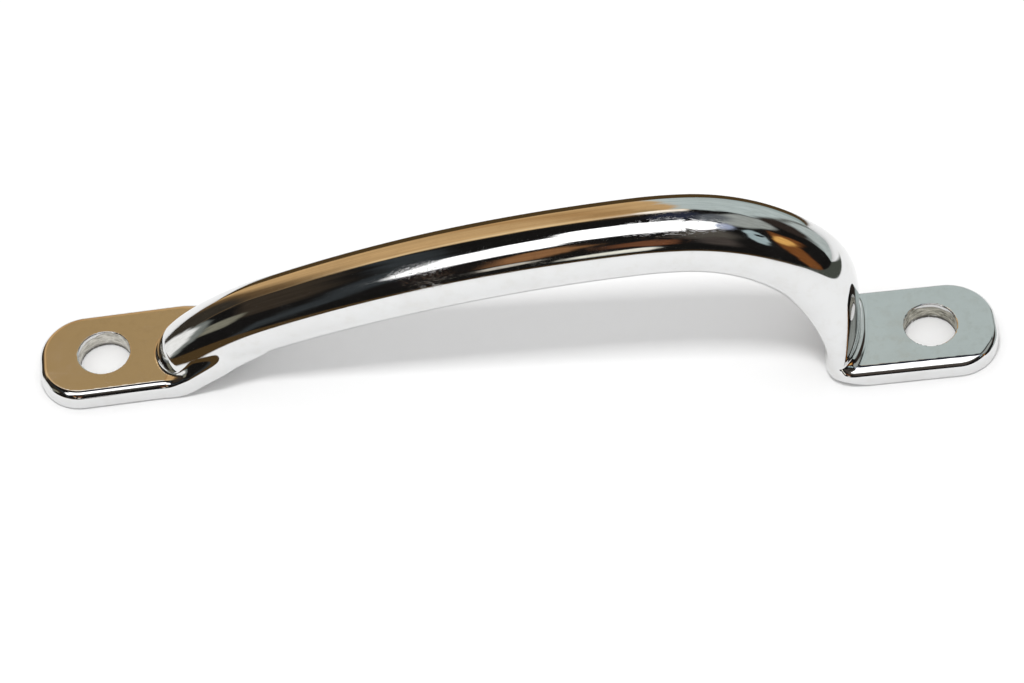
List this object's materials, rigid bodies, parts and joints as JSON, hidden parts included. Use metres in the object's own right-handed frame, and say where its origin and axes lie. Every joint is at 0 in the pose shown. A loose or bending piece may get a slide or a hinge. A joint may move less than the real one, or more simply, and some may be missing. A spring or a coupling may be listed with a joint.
{
  "type": "grab rail",
  "caption": "Chromed grab rail: a round swept grip rising from one drilled flat foot and dropping almost plumb onto the other, for bolting to a flat surface.",
  "frame": {"origin": "midway between the two fixing holes, on the mounting face", "axes": "+X from the low foot's hole to the tall foot's hole, +Z away from the surface that the rail is bolted to, +Y to the back"},
  "size_m": [0.1916, 0.0241, 0.0429],
  "materials": {
    "grip_chrome": "mirror-polished chrome plate with fine hairline scratches",
    "foot_chrome": "mirror-polished chrome plate with a few pits near the edges, dull grey inside the holes",
    "bead_chrome": "chrome plate over a dressed weld, slightly uneven"
  },
  "bodies": {
    "root": {"grip_bar": "grip_chrome", "low_foot": "foot_chrome", "tall_foot": "foot_chrome", "low_weld_bead": "bead_chrome", "tall_weld_bead": "bead_chrome"}
  },
  "joints": []
}
